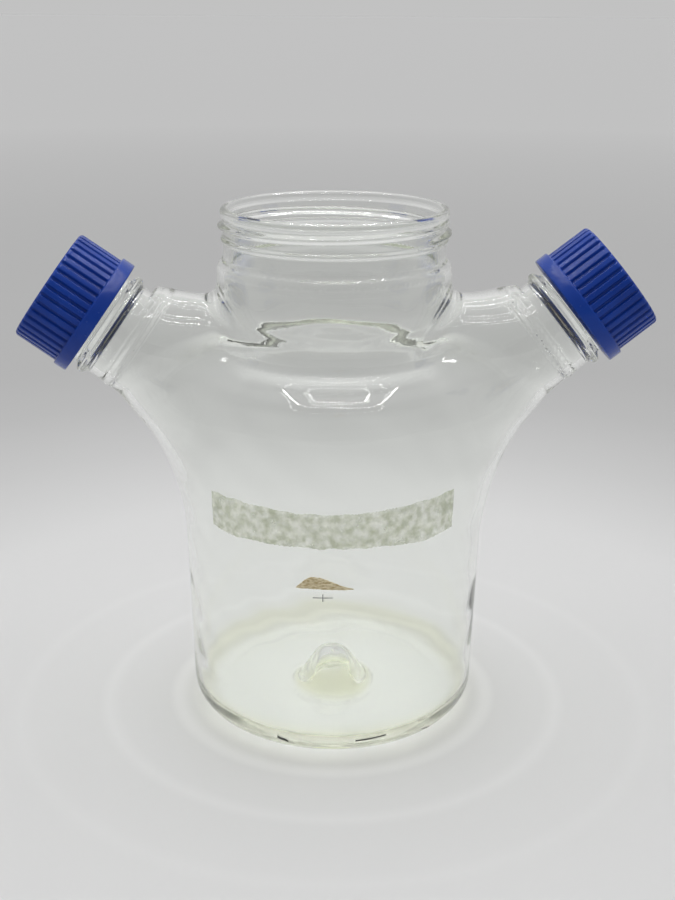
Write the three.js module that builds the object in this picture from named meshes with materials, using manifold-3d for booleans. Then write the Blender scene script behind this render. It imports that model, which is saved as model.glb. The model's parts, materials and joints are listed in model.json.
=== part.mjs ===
// Double side-arm spinner flask, about one litre: a wide-mouth glass vessel with a
// screw-finished centre neck and two slanted side arms, each closed by a ribbed
// GL45 screw cap over a flat sealing disc.
//
// Millimetres, +Z up, origin on the bench under the middle of the vessel.
// The side arms lie in the XZ plane. The front of the flask looks along -Y.
import * as THREE from 'three';
import { mergeVertices } from 'three/addons/utils/BufferGeometryUtils.js';
import Module from 'manifold-3d';

const wasm = await Module();
wasm.setup();

// ---------------------------------------------------------------- driving dimensions
const GAP = 0.3; // air between neighbouring pieces
const ROOT_GAP = 0.24; // air between an arm's root and the vessel
const BEYOND = 1; // how far a cutting solid reaches past what it cuts

// Vessel
const HEIGHT = 229; // bench to the rim of the centre neck
const WALL = 3.2; // glass thickness of the vessel
const BODY_RADIUS = 67.5; // widest, just under the shoulder
const BASE_RADIUS = 65.1; // the side drawn in slightly towards the bench
const HEEL_RADIUS = 13; // rounding between side and bottom
const SHOULDER_START = 126; // where the side starts to turn in
const NECK_RADIUS = 46.1; // narrowest place above the shoulder
const NECK_FLARE_RADIUS = 50.3; // swelling below the screw finish
const FINISH_RADIUS = 47.4; // root of the centre screw thread
const LIP_RADIUS = 48.5;
const FINISH_FOOT = 208.5; // where the screw finish starts
const FLOOR_TOP = 5.5; // inside floor level
const PIP_RADIUS = 10.5; // pushed-up centring pip under the stirrer
const PIP_TOP = 22.6;
const PUNT_RADIUS = 20; // hollow under the pip

// Levels where the vessel is divided into its zones
const FLOOR_SPLIT = 7;
const PIP_SPLIT = 24; // the floor's node takes in the whole pip
const PIP_ZONE_RADIUS = 25;
const WALL_SPLIT = 96;
const NECK_SPLIT = 170;

// Centre screw finish, 100 mm wide mouth
const CENTRE_THREAD = { root: 48.0, bead: 1.7, pitch: 5.08, turns: 1.15, start: 218.2, steps: 32 };
const CENTRE_THREAD_BEARING = -48; // degrees, where the thread starts

// Side arms: the collar plane is where the open end of the cap stands
const ARMS = {
  left: { side: -1, elevation: 35.6, collarOut: 101, collarUp: 181 },
  right: { side: 1, elevation: 38.7, collarOut: 104, collarUp: 183.5 },
};
const ARM_RADIUS = 21.75; // outside, between the seam and the ring bead
const ARM_WALL = 2.8;
const ARM_SEAM = 15; // seam of the threaded end, inwards of the collar plane
const ARM_ROOT = 86; // how far in the flared root is carried before it is trimmed
const ARMS_LOWEST = 60; // a level below both arms

// GL45 end and cap: 4 mm pitch, two turns to take the cap off
const PITCH = 4;
const TUBE_RIM = 21; // rim of the threaded end, outwards of the collar plane
const TUBE_RADIUS = 20.9; // root of the glass thread
const TUBE_BORE = 17.8;
const RING_BEAD = { radius: 24, at: -5, half: 2.4 };
const TUBE_THREAD = { root: 21.2, bead: 1.1, pitch: PITCH, turns: 1.75, start: 8, steps: 20 };
const CAP_HEIGHT = 26.2;
const CAP_BAND_RADIUS = 27;
const CAP_BAND_HEIGHT = 6;
const CAP_RIB_RADIUS = 25.9;
const CAP_GROOVE_RADIUS = 24.9;
const CAP_RIBS = 40;
const RIB_HALF_WIDTH = 0.32; // of a rib and groove together
const CAP_EDGE = 1.2; // smooth edge beyond the ribs
const CAP_CAVITY_RADIUS = 23.2;
const CAP_TOP_THICKNESS = 2.6;
const CAP_THREAD = { root: 22.5, bead: 0.9, pitch: PITCH, turns: 1.75, start: 7.5, steps: 20 };
const LINER_RADIUS = 21;
const LINER_THICKNESS = 2;

const AROUND = 40; // facets round the vessel
const ARM_AROUND = 28; // facets round an arm

const rad = THREE.MathUtils.degToRad;

// ---------------------------------------------------------------- materials
const glass = () => new THREE.MeshStandardMaterial({ color: 0xdfe6e2, roughness: 0.05, metalness: 0 });
const bluePlastic = () => new THREE.MeshStandardMaterial({ color: 0x1b3a94, roughness: 0.35, metalness: 0 });
const linerWhite = () => new THREE.MeshStandardMaterial({ color: 0xe8e6df, roughness: 0.6, metalness: 0 });
const adhesive = () => new THREE.MeshStandardMaterial({ color: 0xb9bfb4, roughness: 0.7, metalness: 0 });
const brownPaper = () => new THREE.MeshStandardMaterial({ color: 0x9a7a52, roughness: 0.9, metalness: 0 });

// ---------------------------------------------------------------- solids
// A closed three.js geometry as a solid that can be joined and cut.
function solid(geometry) {
  const bare = geometry.clone();
  bare.deleteAttribute('normal');
  bare.deleteAttribute('uv');
  const merged = mergeVertices(bare, 1e-4);
  const corners = merged.index.array;
  const triangles = [];
  for (let i = 0; i < corners.length; i += 3) {
    const [a, b, c] = corners.slice(i, i + 3);
    if (a !== b && b !== c && c !== a) triangles.push(a, b, c);
  }
  return new wasm.Manifold(
    new wasm.Mesh({
      numProp: 3,
      vertProperties: new Float32Array(merged.attributes.position.array),
      triVerts: new Uint32Array(triangles),
    }),
  );
}

function geometryOf(shape) {
  const mesh = shape.getMesh();
  const geometry = new THREE.BufferGeometry();
  geometry.setAttribute('position', new THREE.BufferAttribute(mesh.vertProperties, 3));
  geometry.setIndex(new THREE.BufferAttribute(mesh.triVerts, 1));
  geometry.computeVertexNormals();
  return geometry;
}

function piece(name, shape, material) {
  const mesh = new THREE.Mesh(geometryOf(shape), material);
  mesh.name = name;
  return mesh;
}

// A profile of [radius, height] points turned about Z.
function turned(points, around = AROUND) {
  const profile = points.map(([r, z]) => new THREE.Vector2(r, z));
  return new THREE.LatheGeometry(profile, around).rotateX(Math.PI / 2);
}

function cylinder(radius, low, high, around = AROUND) {
  return turned([[0, low], [radius, low], [radius, high], [0, high]], around);
}

// Points of a circular arc in the profile plane, angles in degrees.
function arc(centreR, centreZ, radius, from, to, steps) {
  const points = [];
  for (let i = 0; i <= steps; i += 1) {
    const a = rad(from + ((to - from) * i) / steps);
    points.push([centreR + radius * Math.cos(a), centreZ + radius * Math.sin(a)]);
  }
  return points;
}

// A right-handed helix about Z that sinks by `sink` over its first and last eighth turn.
class HelixCurve extends THREE.Curve {
  constructor(thread, bearing, sink) {
    super();
    Object.assign(this, { thread, bearing, sink });
  }

  getPoint(t, target = new THREE.Vector3()) {
    const { root, pitch, turns, start } = this.thread;
    const turned = t * turns;
    const nearEnd = Math.min(turned, turns - turned) * 8;
    const radius = root + this.sink * Math.max(0, 1 - nearEnd);
    const angle = rad(this.bearing) + turned * 2 * Math.PI;
    return target.set(radius * Math.cos(angle), radius * Math.sin(angle), start + pitch * turned);
  }
}

// The rounded ridge of a screw thread. Sink is negative outside a tube, positive inside a cap.
function threadRidge(thread, bearing, sink) {
  const section = new THREE.Shape().absarc(0, 0, thread.bead, 0, 2 * Math.PI);
  return new THREE.ExtrudeGeometry(section, {
    curveSegments: 3,
    steps: Math.round(thread.turns * thread.steps),
    bevelEnabled: false,
    extrudePath: new HelixCurve(thread, bearing, sink),
  });
}

// ---------------------------------------------------------------- vessel
const foot = [
  [PUNT_RADIUS, 0],
  ...arc(BASE_RADIUS - HEEL_RADIUS, HEEL_RADIUS, HEEL_RADIUS, -90, 0, 5),
];
const outerSide = [
  [BODY_RADIUS, SHOULDER_START - 14],
  [BODY_RADIUS, SHOULDER_START],
  [67.4, 138],
  [66.4, 148],
  [62.6, 157.4],
  [56, 163.1],
  [49.2, 167.2],
  [46.6, 171.5],
  [NECK_RADIUS, 176.5],
  [48.5, 184.6],
  [NECK_FLARE_RADIUS, 194],
  [NECK_FLARE_RADIUS, 201],
  [48.1, FINISH_FOOT - 1.3],
];
const finishSide = [
  [FINISH_RADIUS, FINISH_FOOT + 2],
  [FINISH_RADIUS, 213.5],
  [LIP_RADIUS - 0.2, 216],
  [FINISH_RADIUS, 218],
  [FINISH_RADIUS, 223.5],
  [LIP_RADIUS, 226],
  [LIP_RADIUS - 1.2, HEIGHT],
];
const mouthSide = [
  [LIP_RADIUS - 3.4, HEIGHT],
  [LIP_RADIUS - 4.4, HEIGHT - 1.2],
  [FINISH_RADIUS - WALL, HEIGHT - 5],
  [FINISH_RADIUS - WALL, FINISH_FOOT + 1],
];
const innerSide = [
  [45, FINISH_FOOT - 2.2],
  [NECK_FLARE_RADIUS - WALL, 199.6],
  [NECK_FLARE_RADIUS - WALL, 194.4],
  [45.2, 185.4],
  [NECK_RADIUS - WALL, 176.5],
  [43.4, 171],
  [46.8, 164.7],
  [54.2, 160],
  [59.9, 155.1],
  [63.2, 147],
  [64.2, 137.6],
  [BODY_RADIUS - WALL, SHOULDER_START],
  [BODY_RADIUS - WALL, SHOULDER_START - 14],
  ...arc(BASE_RADIUS - WALL - 9, FLOOR_TOP + 9, 9, 0, -90, 4),
];
const pipTop = [
  [18.8, FLOOR_TOP],
  [14.6, FLOOR_TOP + 2.6],
  [12, FLOOR_TOP + 7.5],
  ...arc(0, PIP_TOP - PIP_RADIUS, PIP_RADIUS, 8, 90, 4),
];
const pipHollow = [
  ...arc(0, PIP_TOP - PIP_RADIUS, PIP_RADIUS - 4, 90, 10, 3),
  [8.4, 6],
  [12.4, 1.6],
];

const glassOfVessel = solid(
  turned([...pipHollow, ...foot, ...outerSide, ...finishSide, ...mouthSide, ...innerSide, ...pipTop]),
);
// Everything that an arm's root keeps clear of.
const trimEnvelope = solid(
  turned([
    [0, ARMS_LOWEST],
    [BODY_RADIUS + ROOT_GAP, ARMS_LOWEST],
    ...outerSide.map(([r, z]) => [r + ROOT_GAP, z + ROOT_GAP]),
    [0, FINISH_FOOT],
  ]),
);

// ---------------------------------------------------------------- side arms
const armFlare = [
  [19, 0.2],
  [28, 1.6],
  [40, 4.4],
  [54, 8.6],
  [68, 12.6],
  [ARM_ROOT, 17],
];
const TOP_FLARE_START = 15;
const TOP_FLARE_RATE = 0.7;
const TOP_FLARE_LIMIT = 13;

// How far the upper side of an arm's root swells towards the neck.
function topFlare(inwards) {
  return Math.min(TOP_FLARE_LIMIT, Math.max(0, (inwards - TOP_FLARE_START) * TOP_FLARE_RATE));
}

function flaredRoot(radius, from, side) {
  const flare = armFlare.map(([inwards, swell]) => [radius + swell, -inwards]).reverse();
  const geometry = turned([[0, -ARM_ROOT], ...flare, [radius, -from], [0, -from]], ARM_AROUND);
  const position = geometry.attributes.position;
  for (let i = 0; i < position.count; i += 1) {
    const x = position.getX(i);
    const y = position.getY(i);
    const r = Math.hypot(x, y);
    if (r > 1) {
      const upwards = (1 - (side * x) / r) / 2;
      const scale = 1 + (topFlare(-position.getZ(i)) * upwards * upwards) / r;
      position.setXY(i, x * scale, y * scale);
    }
  }
  return geometry;
}

// An arm's own frame: +Z outwards along the arm, origin in the collar plane.
function armFrame({ side, elevation, collarOut, collarUp }) {
  const frame = new THREE.Group();
  frame.position.set(side * collarOut, 0, collarUp);
  frame.rotation.y = side * rad(90 - elevation);
  frame.updateMatrix();
  return frame;
}

function armPieces(arm) {
  const toFlask = armFrame(arm).matrix;
  const outside = solid(flaredRoot(ARM_RADIUS, ARM_SEAM + GAP, arm.side).applyMatrix4(toFlask));
  const bore = solid(flaredRoot(ARM_RADIUS - ARM_WALL, ARM_SEAM - 1, arm.side).applyMatrix4(toFlask));
  return { tube: outside.subtract(bore).subtract(trimEnvelope), bore };
}

function threadedEnd() {
  const { radius, at, half } = RING_BEAD;
  const section = [
    [ARM_RADIUS - ARM_WALL, -ARM_SEAM],
    [ARM_RADIUS, -ARM_SEAM],
    [ARM_RADIUS, at - half - 0.6],
    [radius - 0.8, at - half + 0.8],
    [radius, at - 0.6],
    [radius, at + 0.6],
    [radius - 0.8, at + half - 0.8],
    [TUBE_RADIUS, at + half + 0.6],
    [TUBE_RADIUS, TUBE_RIM - 1.6],
    [TUBE_RADIUS - 0.5, TUBE_RIM - 0.4],
    [TUBE_RADIUS - 1.2, TUBE_RIM],
    [TUBE_BORE + 0.6, TUBE_RIM],
    [TUBE_BORE, TUBE_RIM - 0.6],
    [TUBE_BORE, at + half],
    [ARM_RADIUS - ARM_WALL, at - half],
  ];
  const tube = turned([...section, section[0]], ARM_AROUND);
  return solid(tube).add(solid(threadRidge(TUBE_THREAD, 0, -TUBE_THREAD.bead)));
}

// ---------------------------------------------------------------- caps
// Cross-section of the grip: flat ribs with narrow grooves between them.
function ribbedOutline() {
  const corners = [
    [-RIB_HALF_WIDTH, CAP_RIB_RADIUS],
    [RIB_HALF_WIDTH, CAP_RIB_RADIUS],
    [0.5, CAP_GROOVE_RADIUS],
  ];
  const outline = [];
  for (let rib = 0; rib < CAP_RIBS; rib += 1) {
    for (const [share, radius] of corners) {
      const angle = ((rib + share) * 2 * Math.PI) / CAP_RIBS;
      outline.push(new THREE.Vector2(radius * Math.cos(angle), radius * Math.sin(angle)));
    }
  }
  return new THREE.Shape(outline);
}

// The cap's three lengths run into each other by BEYOND before they are joined.
function cap() {
  const gripEnd = CAP_HEIGHT - CAP_EDGE;
  const gripStart = CAP_BAND_HEIGHT - BEYOND;
  const grip = new THREE.ExtrudeGeometry(ribbedOutline(), {
    depth: gripEnd - gripStart,
    bevelEnabled: false,
  }).translate(0, 0, gripStart);
  const band = turned(
    [
      [0, 0],
      [CAP_BAND_RADIUS - 0.4, 0],
      [CAP_BAND_RADIUS, 0.4],
      [CAP_BAND_RADIUS, CAP_BAND_HEIGHT - 0.6],
      [CAP_BAND_RADIUS - 0.6, CAP_BAND_HEIGHT],
      [0, CAP_BAND_HEIGHT],
    ],
    ARM_AROUND,
  );
  const endRadius = CAP_GROOVE_RADIUS - 0.1;
  const end = turned(
    [
      [0, gripEnd - BEYOND],
      [endRadius, gripEnd - BEYOND],
      [endRadius, CAP_HEIGHT - 0.9],
      [endRadius - 0.5, CAP_HEIGHT - 0.2],
      [endRadius - 1.3, CAP_HEIGHT],
      [0, CAP_HEIGHT],
    ],
    ARM_AROUND,
  );
  const cavity = cylinder(CAP_CAVITY_RADIUS, -BEYOND, CAP_HEIGHT - CAP_TOP_THICKNESS, ARM_AROUND);
  const shell = solid(grip).add(solid(band)).add(solid(end)).subtract(solid(cavity));
  // Half a pitch behind the glass thread, so that the two threads lie between each other.
  const bearing = ((CAP_THREAD.start - (TUBE_THREAD.start - PITCH / 2)) / PITCH) * 360;
  return shell.add(solid(threadRidge(CAP_THREAD, bearing, CAP_THREAD.bead)));
}

function liner() {
  const top = CAP_HEIGHT - CAP_TOP_THICKNESS - GAP;
  const low = top - LINER_THICKNESS;
  return solid(
    turned(
      [
        [0, low],
        [LINER_RADIUS - 0.4, low],
        [LINER_RADIUS, low + 0.4],
        [LINER_RADIUS, top - 0.4],
        [LINER_RADIUS - 0.4, top],
        [0, top],
      ],
      ARM_AROUND,
    ),
  );
}

// ---------------------------------------------------------------- what is stuck on the glass
// A thin patch on the front of the vessel: the skin between two radii inside an outline.
function patch(outline, lift, thickness) {
  const inside = BODY_RADIUS + lift;
  const outside = inside + thickness;
  const [low, high] = [70, SHOULDER_START];
  const skin = turned([[inside, low], [outside, low], [outside, high], [inside, high], [inside, low]]);
  const cutter = new THREE.ExtrudeGeometry(outline, { depth: outside + BEYOND, bevelEnabled: false });
  return solid(skin).intersect(solid(cutter.rotateX(Math.PI / 2)));
}

function labelOutline() {
  const outline = new THREE.Shape();
  outline.moveTo(-51.5, 102);
  outline.splineThru([
    new THREE.Vector2(-36, 100.9),
    new THREE.Vector2(0, 101.2),
    new THREE.Vector2(38, 100.5),
    new THREE.Vector2(47.4, 101.7),
  ]);
  outline.lineTo(48.5, 119.4);
  outline.splineThru([
    new THREE.Vector2(24, 118.2),
    new THREE.Vector2(0, 116.6),
    new THREE.Vector2(-40, 117.7),
    new THREE.Vector2(-51.8, 118),
  ]);
  outline.closePath();
  return outline;
}

function scrapOutline() {
  const outline = new THREE.Shape();
  outline.moveTo(-17.6, 82.4);
  outline.lineTo(6.2, 82.4);
  outline.lineTo(6, 83.6);
  outline.lineTo(-8.6, 88.6);
  outline.lineTo(-12.4, 88.4);
  outline.lineTo(-17.4, 83.8);
  outline.closePath();
  return outline;
}

// ---------------------------------------------------------------- assembly
const flask = new THREE.Group();

const arms = Object.entries(ARMS).map(([name, arm]) => ({ name, arm, ...armPieces(arm) }));
const openVessel = arms.reduce((vessel, { bore }) => vessel.subtract(bore), glassOfVessel);

// The vessel's glass between two levels.
function zone(low, high) {
  return openVessel.intersect(solid(cylinder(BODY_RADIUS * 1.3, low, high, 8)));
}

const pipZone = solid(cylinder(PIP_ZONE_RADIUS, -BEYOND, PIP_SPLIT, 8));
const floor = zone(-BEYOND, FLOOR_SPLIT - GAP / 2).add(openVessel.intersect(pipZone));
const wall = zone(FLOOR_SPLIT + GAP / 2, WALL_SPLIT - GAP / 2).subtract(pipZone);
flask.add(piece('vessel_floor', floor, glass()));
flask.add(piece('vessel_wall', wall, glass()));
flask.add(piece('vessel_shoulder', zone(WALL_SPLIT + GAP / 2, NECK_SPLIT - GAP / 2), glass()));
const centreRidge = threadRidge(CENTRE_THREAD, CENTRE_THREAD_BEARING, -CENTRE_THREAD.bead);
const neck = zone(NECK_SPLIT + GAP / 2, HEIGHT + BEYOND).add(solid(centreRidge));
flask.add(piece('centre_neck', neck, glass()));

for (const { name, arm, tube } of arms) {
  flask.add(piece(`${name}_arm`, tube, glass()));
  const frame = armFrame(arm);
  frame.add(piece(`${name}_threaded_end`, threadedEnd(), glass()));
  frame.add(piece(`${name}_cap`, cap(), bluePlastic()));
  frame.add(piece(`${name}_liner`, liner(), linerWhite()));
  flask.add(frame);
}

flask.add(piece('label_residue', patch(labelOutline(), GAP, 0.3), adhesive()));
flask.add(piece('paper_scrap', patch(scrapOutline(), GAP, 0.35), brownPaper()));

export default flask;
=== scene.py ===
"""Looks of a one-litre double side-arm spinner flask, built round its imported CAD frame.

Shapes are worked out in millimetres and turned to metres when a mesh is made.
"""
import json
import math

import bmesh
import bpy
import numpy as np
from mathutils import Matrix, Vector


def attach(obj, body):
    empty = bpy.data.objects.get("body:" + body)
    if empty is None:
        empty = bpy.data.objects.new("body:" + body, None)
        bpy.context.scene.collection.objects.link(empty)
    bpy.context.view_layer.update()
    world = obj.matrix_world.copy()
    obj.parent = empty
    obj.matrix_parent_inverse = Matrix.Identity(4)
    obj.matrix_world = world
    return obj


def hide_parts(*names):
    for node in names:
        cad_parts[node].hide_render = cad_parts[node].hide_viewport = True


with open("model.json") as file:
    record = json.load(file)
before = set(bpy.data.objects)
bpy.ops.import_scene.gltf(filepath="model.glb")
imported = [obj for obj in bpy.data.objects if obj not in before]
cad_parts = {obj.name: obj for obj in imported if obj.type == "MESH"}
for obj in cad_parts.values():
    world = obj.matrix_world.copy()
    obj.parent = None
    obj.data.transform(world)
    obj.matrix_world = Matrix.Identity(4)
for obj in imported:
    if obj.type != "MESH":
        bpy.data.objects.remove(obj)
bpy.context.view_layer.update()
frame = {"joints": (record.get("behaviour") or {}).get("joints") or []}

MM = 0.001

# ------------------------------------------------------------------ sizes, in mm
WALL = 3.2
BODY_RADIUS = 67.5
BASE_RADIUS = 65.1
HEEL_RADIUS = 13.0
SHOULDER_START = 126.0
NECK_RADIUS = 46.1
NECK_FLARE_RADIUS = 50.3
FINISH_RADIUS = 47.4
LIP_RADIUS = 48.5
HEIGHT = 229.0
FLOOR_TOP = 5.5
PIP_RADIUS = 10.5
PIP_TOP = 22.6

ARM_RADIUS = 21.75
ARM_BORE = 18.95
ARM_CORE_END = -78.0  # where an arm's axis stops, inside the vessel
ARM_SEAM = -17.4  # where the bought threaded end is fused on
SEAM_RISE = 0.7
SEAM_WIDTH = 1.5
ARM_CREST = 191.2  # the level top of a drawn-out arm, near the neck
ARM_LEVEL_SPAN = (30, 69)  # from the vessel's axis, where an arm's top is level
ARM_LEVEL_FILLET = 16.0
ARM_FILLET = 8.0  # how tightly the top of an arm meets the neck
ARM_BLEND = 38.0  # how widely the rest of an arm flows into the vessel
BLEND_TURNS_TIGHT = (140, 176)  # levels between which the wide blend becomes the fillet
HAND_BLOWN = 0.10  # waviness of blown glass

NECK_CUT = 211.0  # above this level the neck is turned, below it the glass is blown
NECK_CALM = 196.0  # from here up to the cut the blown glass grows true
ARM_CUT = -12.8  # outwards of this the arm end is turned
GRID = 1.9  # spacing of the points that the blown glass is found on

BEAD_LEVEL = 215.9
BEAD_HALF_HEIGHT = 1.7
BEAD_RISE = 0.95
NECK_THREAD = dict(start=218.2, pitch=5.08, turns=1.15, bearing=-48, half_width=1.9, rise=2.3)
ARM_THREAD = dict(start=8, pitch=4, turns=1.75, bearing=0, half_width=1.25, rise=1.4)
CAP_THREAD = dict(start=7.5, pitch=4, turns=1.75, bearing=135, half_width=1.0, rise=1.6)
THREAD_RUN_OUT = 0.09  # share of a turn over which a ridge fades away at its ends
NECK_STEPS = 288
ARM_STEPS = 176
DISC_STEPS = 96

CAP_HEIGHT = 26.2
CAP_TOP_THICKNESS = 2.6
CAP_RIBS = 40
RIB_DEPTH = 1.25
STEPS_PER_RIB = 16
DISC_GAP = 0.3  # between the disc and the cap's ceiling
DISC_THICKNESS = 2.0

FILM_LIFT = 0.06
SCRAP_LIFT = 0.08
MARK_LIFT = 0.22  # clear of the glass's waviness

# ------------------------------------------------------------------ the stage, in metres
TABLE_SIZE = 40.0
TABLE_LEVEL = -0.0006  # just clear of the glass, so that the two surfaces do not fight
PAINTED_SHADE_REACH = 3.0
PAINTED_CAUSTICS_REACH = 0.25
LAMP_LEVEL = 0.55
LAMP_CENTRE_X = 0.018
LAMP_SPACING = 0.0105
LAMP_SIZE = 0.0065
LAMP_STRENGTH = 45.0
TOP_LIGHT = (0, 0.05, 0.95)
TOP_LIGHT_SIZE = (1.0, 0.8)
TOP_LIGHT_POWER = 3.6
WORLD_STRENGTH = 0.84
EYE = (-0.0197, -0.5345, 0.3086)
YAW, PITCH, ROLL = 2.30, 19.43, 0.35
LENS, SENSOR = 50.4, 36.0
LIGHT_BOUNCES = 64

HEEL_CLEAR = (0.99, 1.0, 0.985, 1)
HEEL_TINT = (0.965, 0.975, 0.83, 1)


# ------------------------------------------------------------------ curves and fields
def smooth_line(points, steps=12):
    """A centripetal Catmull-Rom line through the points."""
    p = np.asarray(points, float)
    p = np.vstack([2 * p[0] - p[1], p, 2 * p[-1] - p[-2]])
    out = []
    for p0, p1, p2, p3 in zip(p, p[1:], p[2:], p[3:]):
        t0 = 0.0
        t1 = t0 + np.linalg.norm(p1 - p0) ** 0.5
        t2 = t1 + np.linalg.norm(p2 - p1) ** 0.5
        t3 = t2 + np.linalg.norm(p3 - p2) ** 0.5
        t = np.linspace(t1, t2, steps, endpoint=False)[:, None]
        a1 = (t1 - t) / (t1 - t0) * p0 + (t - t0) / (t1 - t0) * p1
        a2 = (t2 - t) / (t2 - t1) * p1 + (t - t1) / (t2 - t1) * p2
        a3 = (t3 - t) / (t3 - t2) * p2 + (t - t2) / (t3 - t2) * p3
        b1 = (t2 - t) / (t2 - t0) * a1 + (t - t0) / (t2 - t0) * a2
        b2 = (t3 - t) / (t3 - t1) * a2 + (t - t1) / (t3 - t1) * a3
        out.append((t2 - t) / (t2 - t1) * b1 + (t - t1) / (t2 - t1) * b2)
    return np.vstack(out + [p[-2:-1]])


def arc(centre_r, centre_z, radius, start, end, steps=24):
    a = np.radians(np.linspace(start, end, steps))
    return np.stack([centre_r + radius * np.cos(a), centre_z + radius * np.sin(a)], 1)


def smoothstep(x, low, high):
    t = np.clip((x - low) / (high - low), 0, 1)
    return t * t * (3 - 2 * t)


def soft_min(a, b, reach, strength=1.0):
    """The smaller of two distances, with a fillet where they are within reach of each other."""
    near = np.maximum(reach - np.abs(a - b), 0) / reach
    return np.minimum(a, b) - near * near * reach / 4 * strength


class TurnedField:
    """Signed distance to a surface of revolution, negative inside its closed profile."""

    STEP = 0.8
    LOW = np.array([-4.0, -10.0])
    SHAPE = (155, 328)

    def __init__(self, profile):
        r = self.LOW[0] + self.STEP * np.arange(self.SHAPE[0])
        z = self.LOW[1] + self.STEP * np.arange(self.SHAPE[1])
        radius, height = np.meshgrid(np.abs(r), z, indexing="ij")
        best = np.full(self.SHAPE, 1e9)
        inside = np.zeros(self.SHAPE, bool)
        repeated = np.linalg.norm(np.diff(profile, axis=0), axis=1) < 1e-6
        profile = profile[np.append(True, ~repeated)]
        for (r0, z0), (r1, z1) in zip(profile, profile[1:]):
            dr, dz = r1 - r0, z1 - z0
            share = ((radius - r0) * dr + (height - z0) * dz) / (dr * dr + dz * dz)
            share = np.clip(share, 0, 1)
            gap = (radius - r0 - share * dr) ** 2 + (height - z0 - share * dz) ** 2
            best = np.minimum(best, gap)
            if z0 != z1:
                crosses = (z0 > height) != (z1 > height)
                inside ^= crosses & (radius < r0 + (height - z0) * dr / dz)
        self.table = np.sqrt(best) * np.where(inside, -1.0, 1.0)

    def __call__(self, radius, height):
        u = (radius - self.LOW[0]) / self.STEP
        v = (height - self.LOW[1]) / self.STEP
        i = np.clip(u.astype(int), 1, self.SHAPE[0] - 3)
        j = np.clip(v.astype(int), 1, self.SHAPE[1] - 3)
        return self._cubic(i, u - i, j, v - j)

    def _cubic(self, i, fu, j, fv):
        def weights(f):
            return (
                -0.5 * f + f * f - 0.5 * f**3,
                1 - 2.5 * f * f + 1.5 * f**3,
                0.5 * f + 2 * f * f - 1.5 * f**3,
                -0.5 * f * f + 0.5 * f**3,
            )

        total = 0.0
        for a, wu in enumerate(weights(fu)):
            for b, wv in enumerate(weights(fv)):
                total = total + wu * wv * self.table[i + a - 1, j + b - 1]
        return total


# ------------------------------------------------------------------ the arms' own frames
class Arm:
    """An arm's axis, read from the joint that its cap turns on."""

    def __init__(self, side):
        joint = next(j for j in frame["joints"] if j["name"] == side + "_cap_turn")
        self.side = side
        self.collar = np.array(joint["pos_m"]) / MM
        self.out = np.array(joint["axis"]) / np.linalg.norm(joint["axis"])
        self.back = np.array([0.0, 1.0, 0.0])
        self.up = np.cross(self.out, self.back)

    def along(self, p):
        return (p - self.collar) @ self.out

    def tube(self, p, radius, seam):
        """Distance to a round-ended tube of this radius along the axis, drawn level on top."""
        share = np.maximum(self.along(p), ARM_CORE_END)
        swelling = seam * np.exp(-(((share - ARM_SEAM) / SEAM_WIDTH) ** 2))
        straight = np.linalg.norm(p - self.collar - share[..., None] * self.out, axis=-1)
        straight = straight - radius - swelling
        across = p[..., 0] * np.sign(self.out[0])
        x = across - np.clip(across, *ARM_LEVEL_SPAN)
        z = p[..., 2] - ARM_CREST + ARM_RADIUS
        level = np.sqrt(x * x + p[..., 1] ** 2 + z**2) - radius
        return soft_min(straight, level, ARM_LEVEL_FILLET)

    def place(self, local):
        """Local points, Z outwards along the arm, to the flask's frame."""
        return self.collar + local @ np.array([self.up, self.back, self.out])


ARMS = [Arm("left"), Arm("right")]


# ------------------------------------------------------------------ blown glass
def outer_profile():
    side = [
        [BODY_RADIUS, SHOULDER_START - 14],
        [BODY_RADIUS, SHOULDER_START],
        [67.4, 138],
        [66.6, 147],
        [65.0, 153.2],
        [62.6, 157.4],
        [60.0, 160.2],
        [56.0, 163.1],
        [52.0, 165.2],
        [49.5, 166.3],
        [47.8, 167.4],
        [46.7, 169.4],
        [46.2, 172.6],
        [NECK_RADIUS, 176.5],
        [46.9, 180],
        [48.5, 184.6],
        [49.7, 189.5],
        [NECK_FLARE_RADIUS, 195],
        [NECK_FLARE_RADIUS, 200],
        [50.25, 203],
        [49.9, 205],
        [48.9, 206.4],
        [48.0, 207.1],
        [47.5, 208.4],
        [FINISH_RADIUS, 210.5],
    ]
    hollow = [[0, 18.0], [4.5, 16.8], [7.4, 12.6], [9.4, 6.8], [13.0, 1.9], [19, 0]]
    return np.vstack(
        [
            smooth_line(hollow),
            arc(BASE_RADIUS - HEEL_RADIUS, HEEL_RADIUS, HEEL_RADIUS, -90, 0),
            smooth_line(side),
            [[FINISH_RADIUS, 300], [0, 300]],
        ]
    )


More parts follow.
